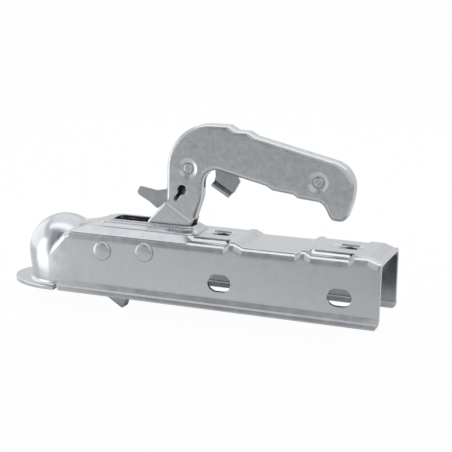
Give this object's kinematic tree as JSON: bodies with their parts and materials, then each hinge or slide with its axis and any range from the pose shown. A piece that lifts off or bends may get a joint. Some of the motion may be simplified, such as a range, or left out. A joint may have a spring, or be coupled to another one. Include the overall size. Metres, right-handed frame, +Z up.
{
  "type": "trailer coupling head",
  "caption": "Pressed sheet trailer coupling head with a ball socket dome, U-channel for the drawbar, lever handle with a safety catch, and a linked jaw under the ball.",
  "frame": {"origin": "centre of the tow ball when the head is coupled", "axes": "+X back along the drawbar, +Z up, +Y across, away from the side with the keyhole"},
  "size_m": [0.3013, 0.0636, 0.1485],
  "materials": {
    "housing_sheet": "zinc plated",
    "handle_sheet": "zinc plated",
    "catch_sheet": "zinc plated",
    "link_sheet": "zinc plated",
    "jaw_steel": "zinc plated forging",
    "rivet_steel": "zinc plated",
    "handle_rivets": "zinc plated",
    "tube_steel": "drawn tube",
    "spring_steel": "oil tempered"
  },
  "bodies": {
    "housing": {"housing": "housing_sheet", "jaw_rivet": "rivet_steel", "handle_rivet": "rivet_steel", "jaw_sleeve": "tube_steel", "handle_sleeve": "tube_steel", "jaw_spacers": "tube_steel", "handle_spacers": "tube_steel", "jaw_spring": "spring_steel"},
    "jaw": {"jaw": "jaw_steel", "jaw_pin": "rivet_steel", "jaw_pin_ring": "spring_steel"},
    "handle": {"handle_near_shell": "handle_sheet", "handle_far_shell": "handle_sheet", "handle_front_rivet": "handle_rivets", "handle_rear_rivet": "handle_rivets", "catch_tube": "tube_steel", "handle_tube": "tube_steel", "link_pin": "rivet_steel", "link_pin_ring": "spring_steel", "catch_spring": "spring_steel"},
    "link": {"link_plates": "link_sheet"},
    "catch": {"catch": "catch_sheet"}
  },
  "joints": [
    {"name": "handle_hinge", "type": "hinge", "parent": "housing", "child": "handle", "pos_m": [0.0812, 0, 0.0112], "axis": [0, -1, 0], "range_deg": [0, 36]},
    {"name": "jaw_hinge", "type": "hinge", "parent": "housing", "child": "jaw", "pos_m": [0.0464, 0, 0.0087], "axis": [0, -1, 0], "range_deg": [0, 25.2], "deforming": ["jaw_spring"]},
    {"name": "link_hinge", "type": "hinge", "parent": "handle", "child": "link", "pos_m": [0.0877, 0, -0.0001], "axis": [0, -1, 0], "range_deg": [-38, 0]},
    {"name": "catch_hinge", "type": "hinge", "parent": "handle", "child": "catch", "pos_m": [0.1064, 0, 0.0727], "axis": [0, -1, 0], "range_deg": [0, 7], "stiffness_Nm_per_rad": 0.5, "springref_deg": -14.32, "deforming": ["catch_spring"]}
  ],
  "couplings": [
    {"joint": "jaw_hinge", "follows": "handle_hinge", "ratio": 0.7},
    {"joint": "link_hinge", "follows": "handle_hinge", "ratio": -1.0522}
  ]
}
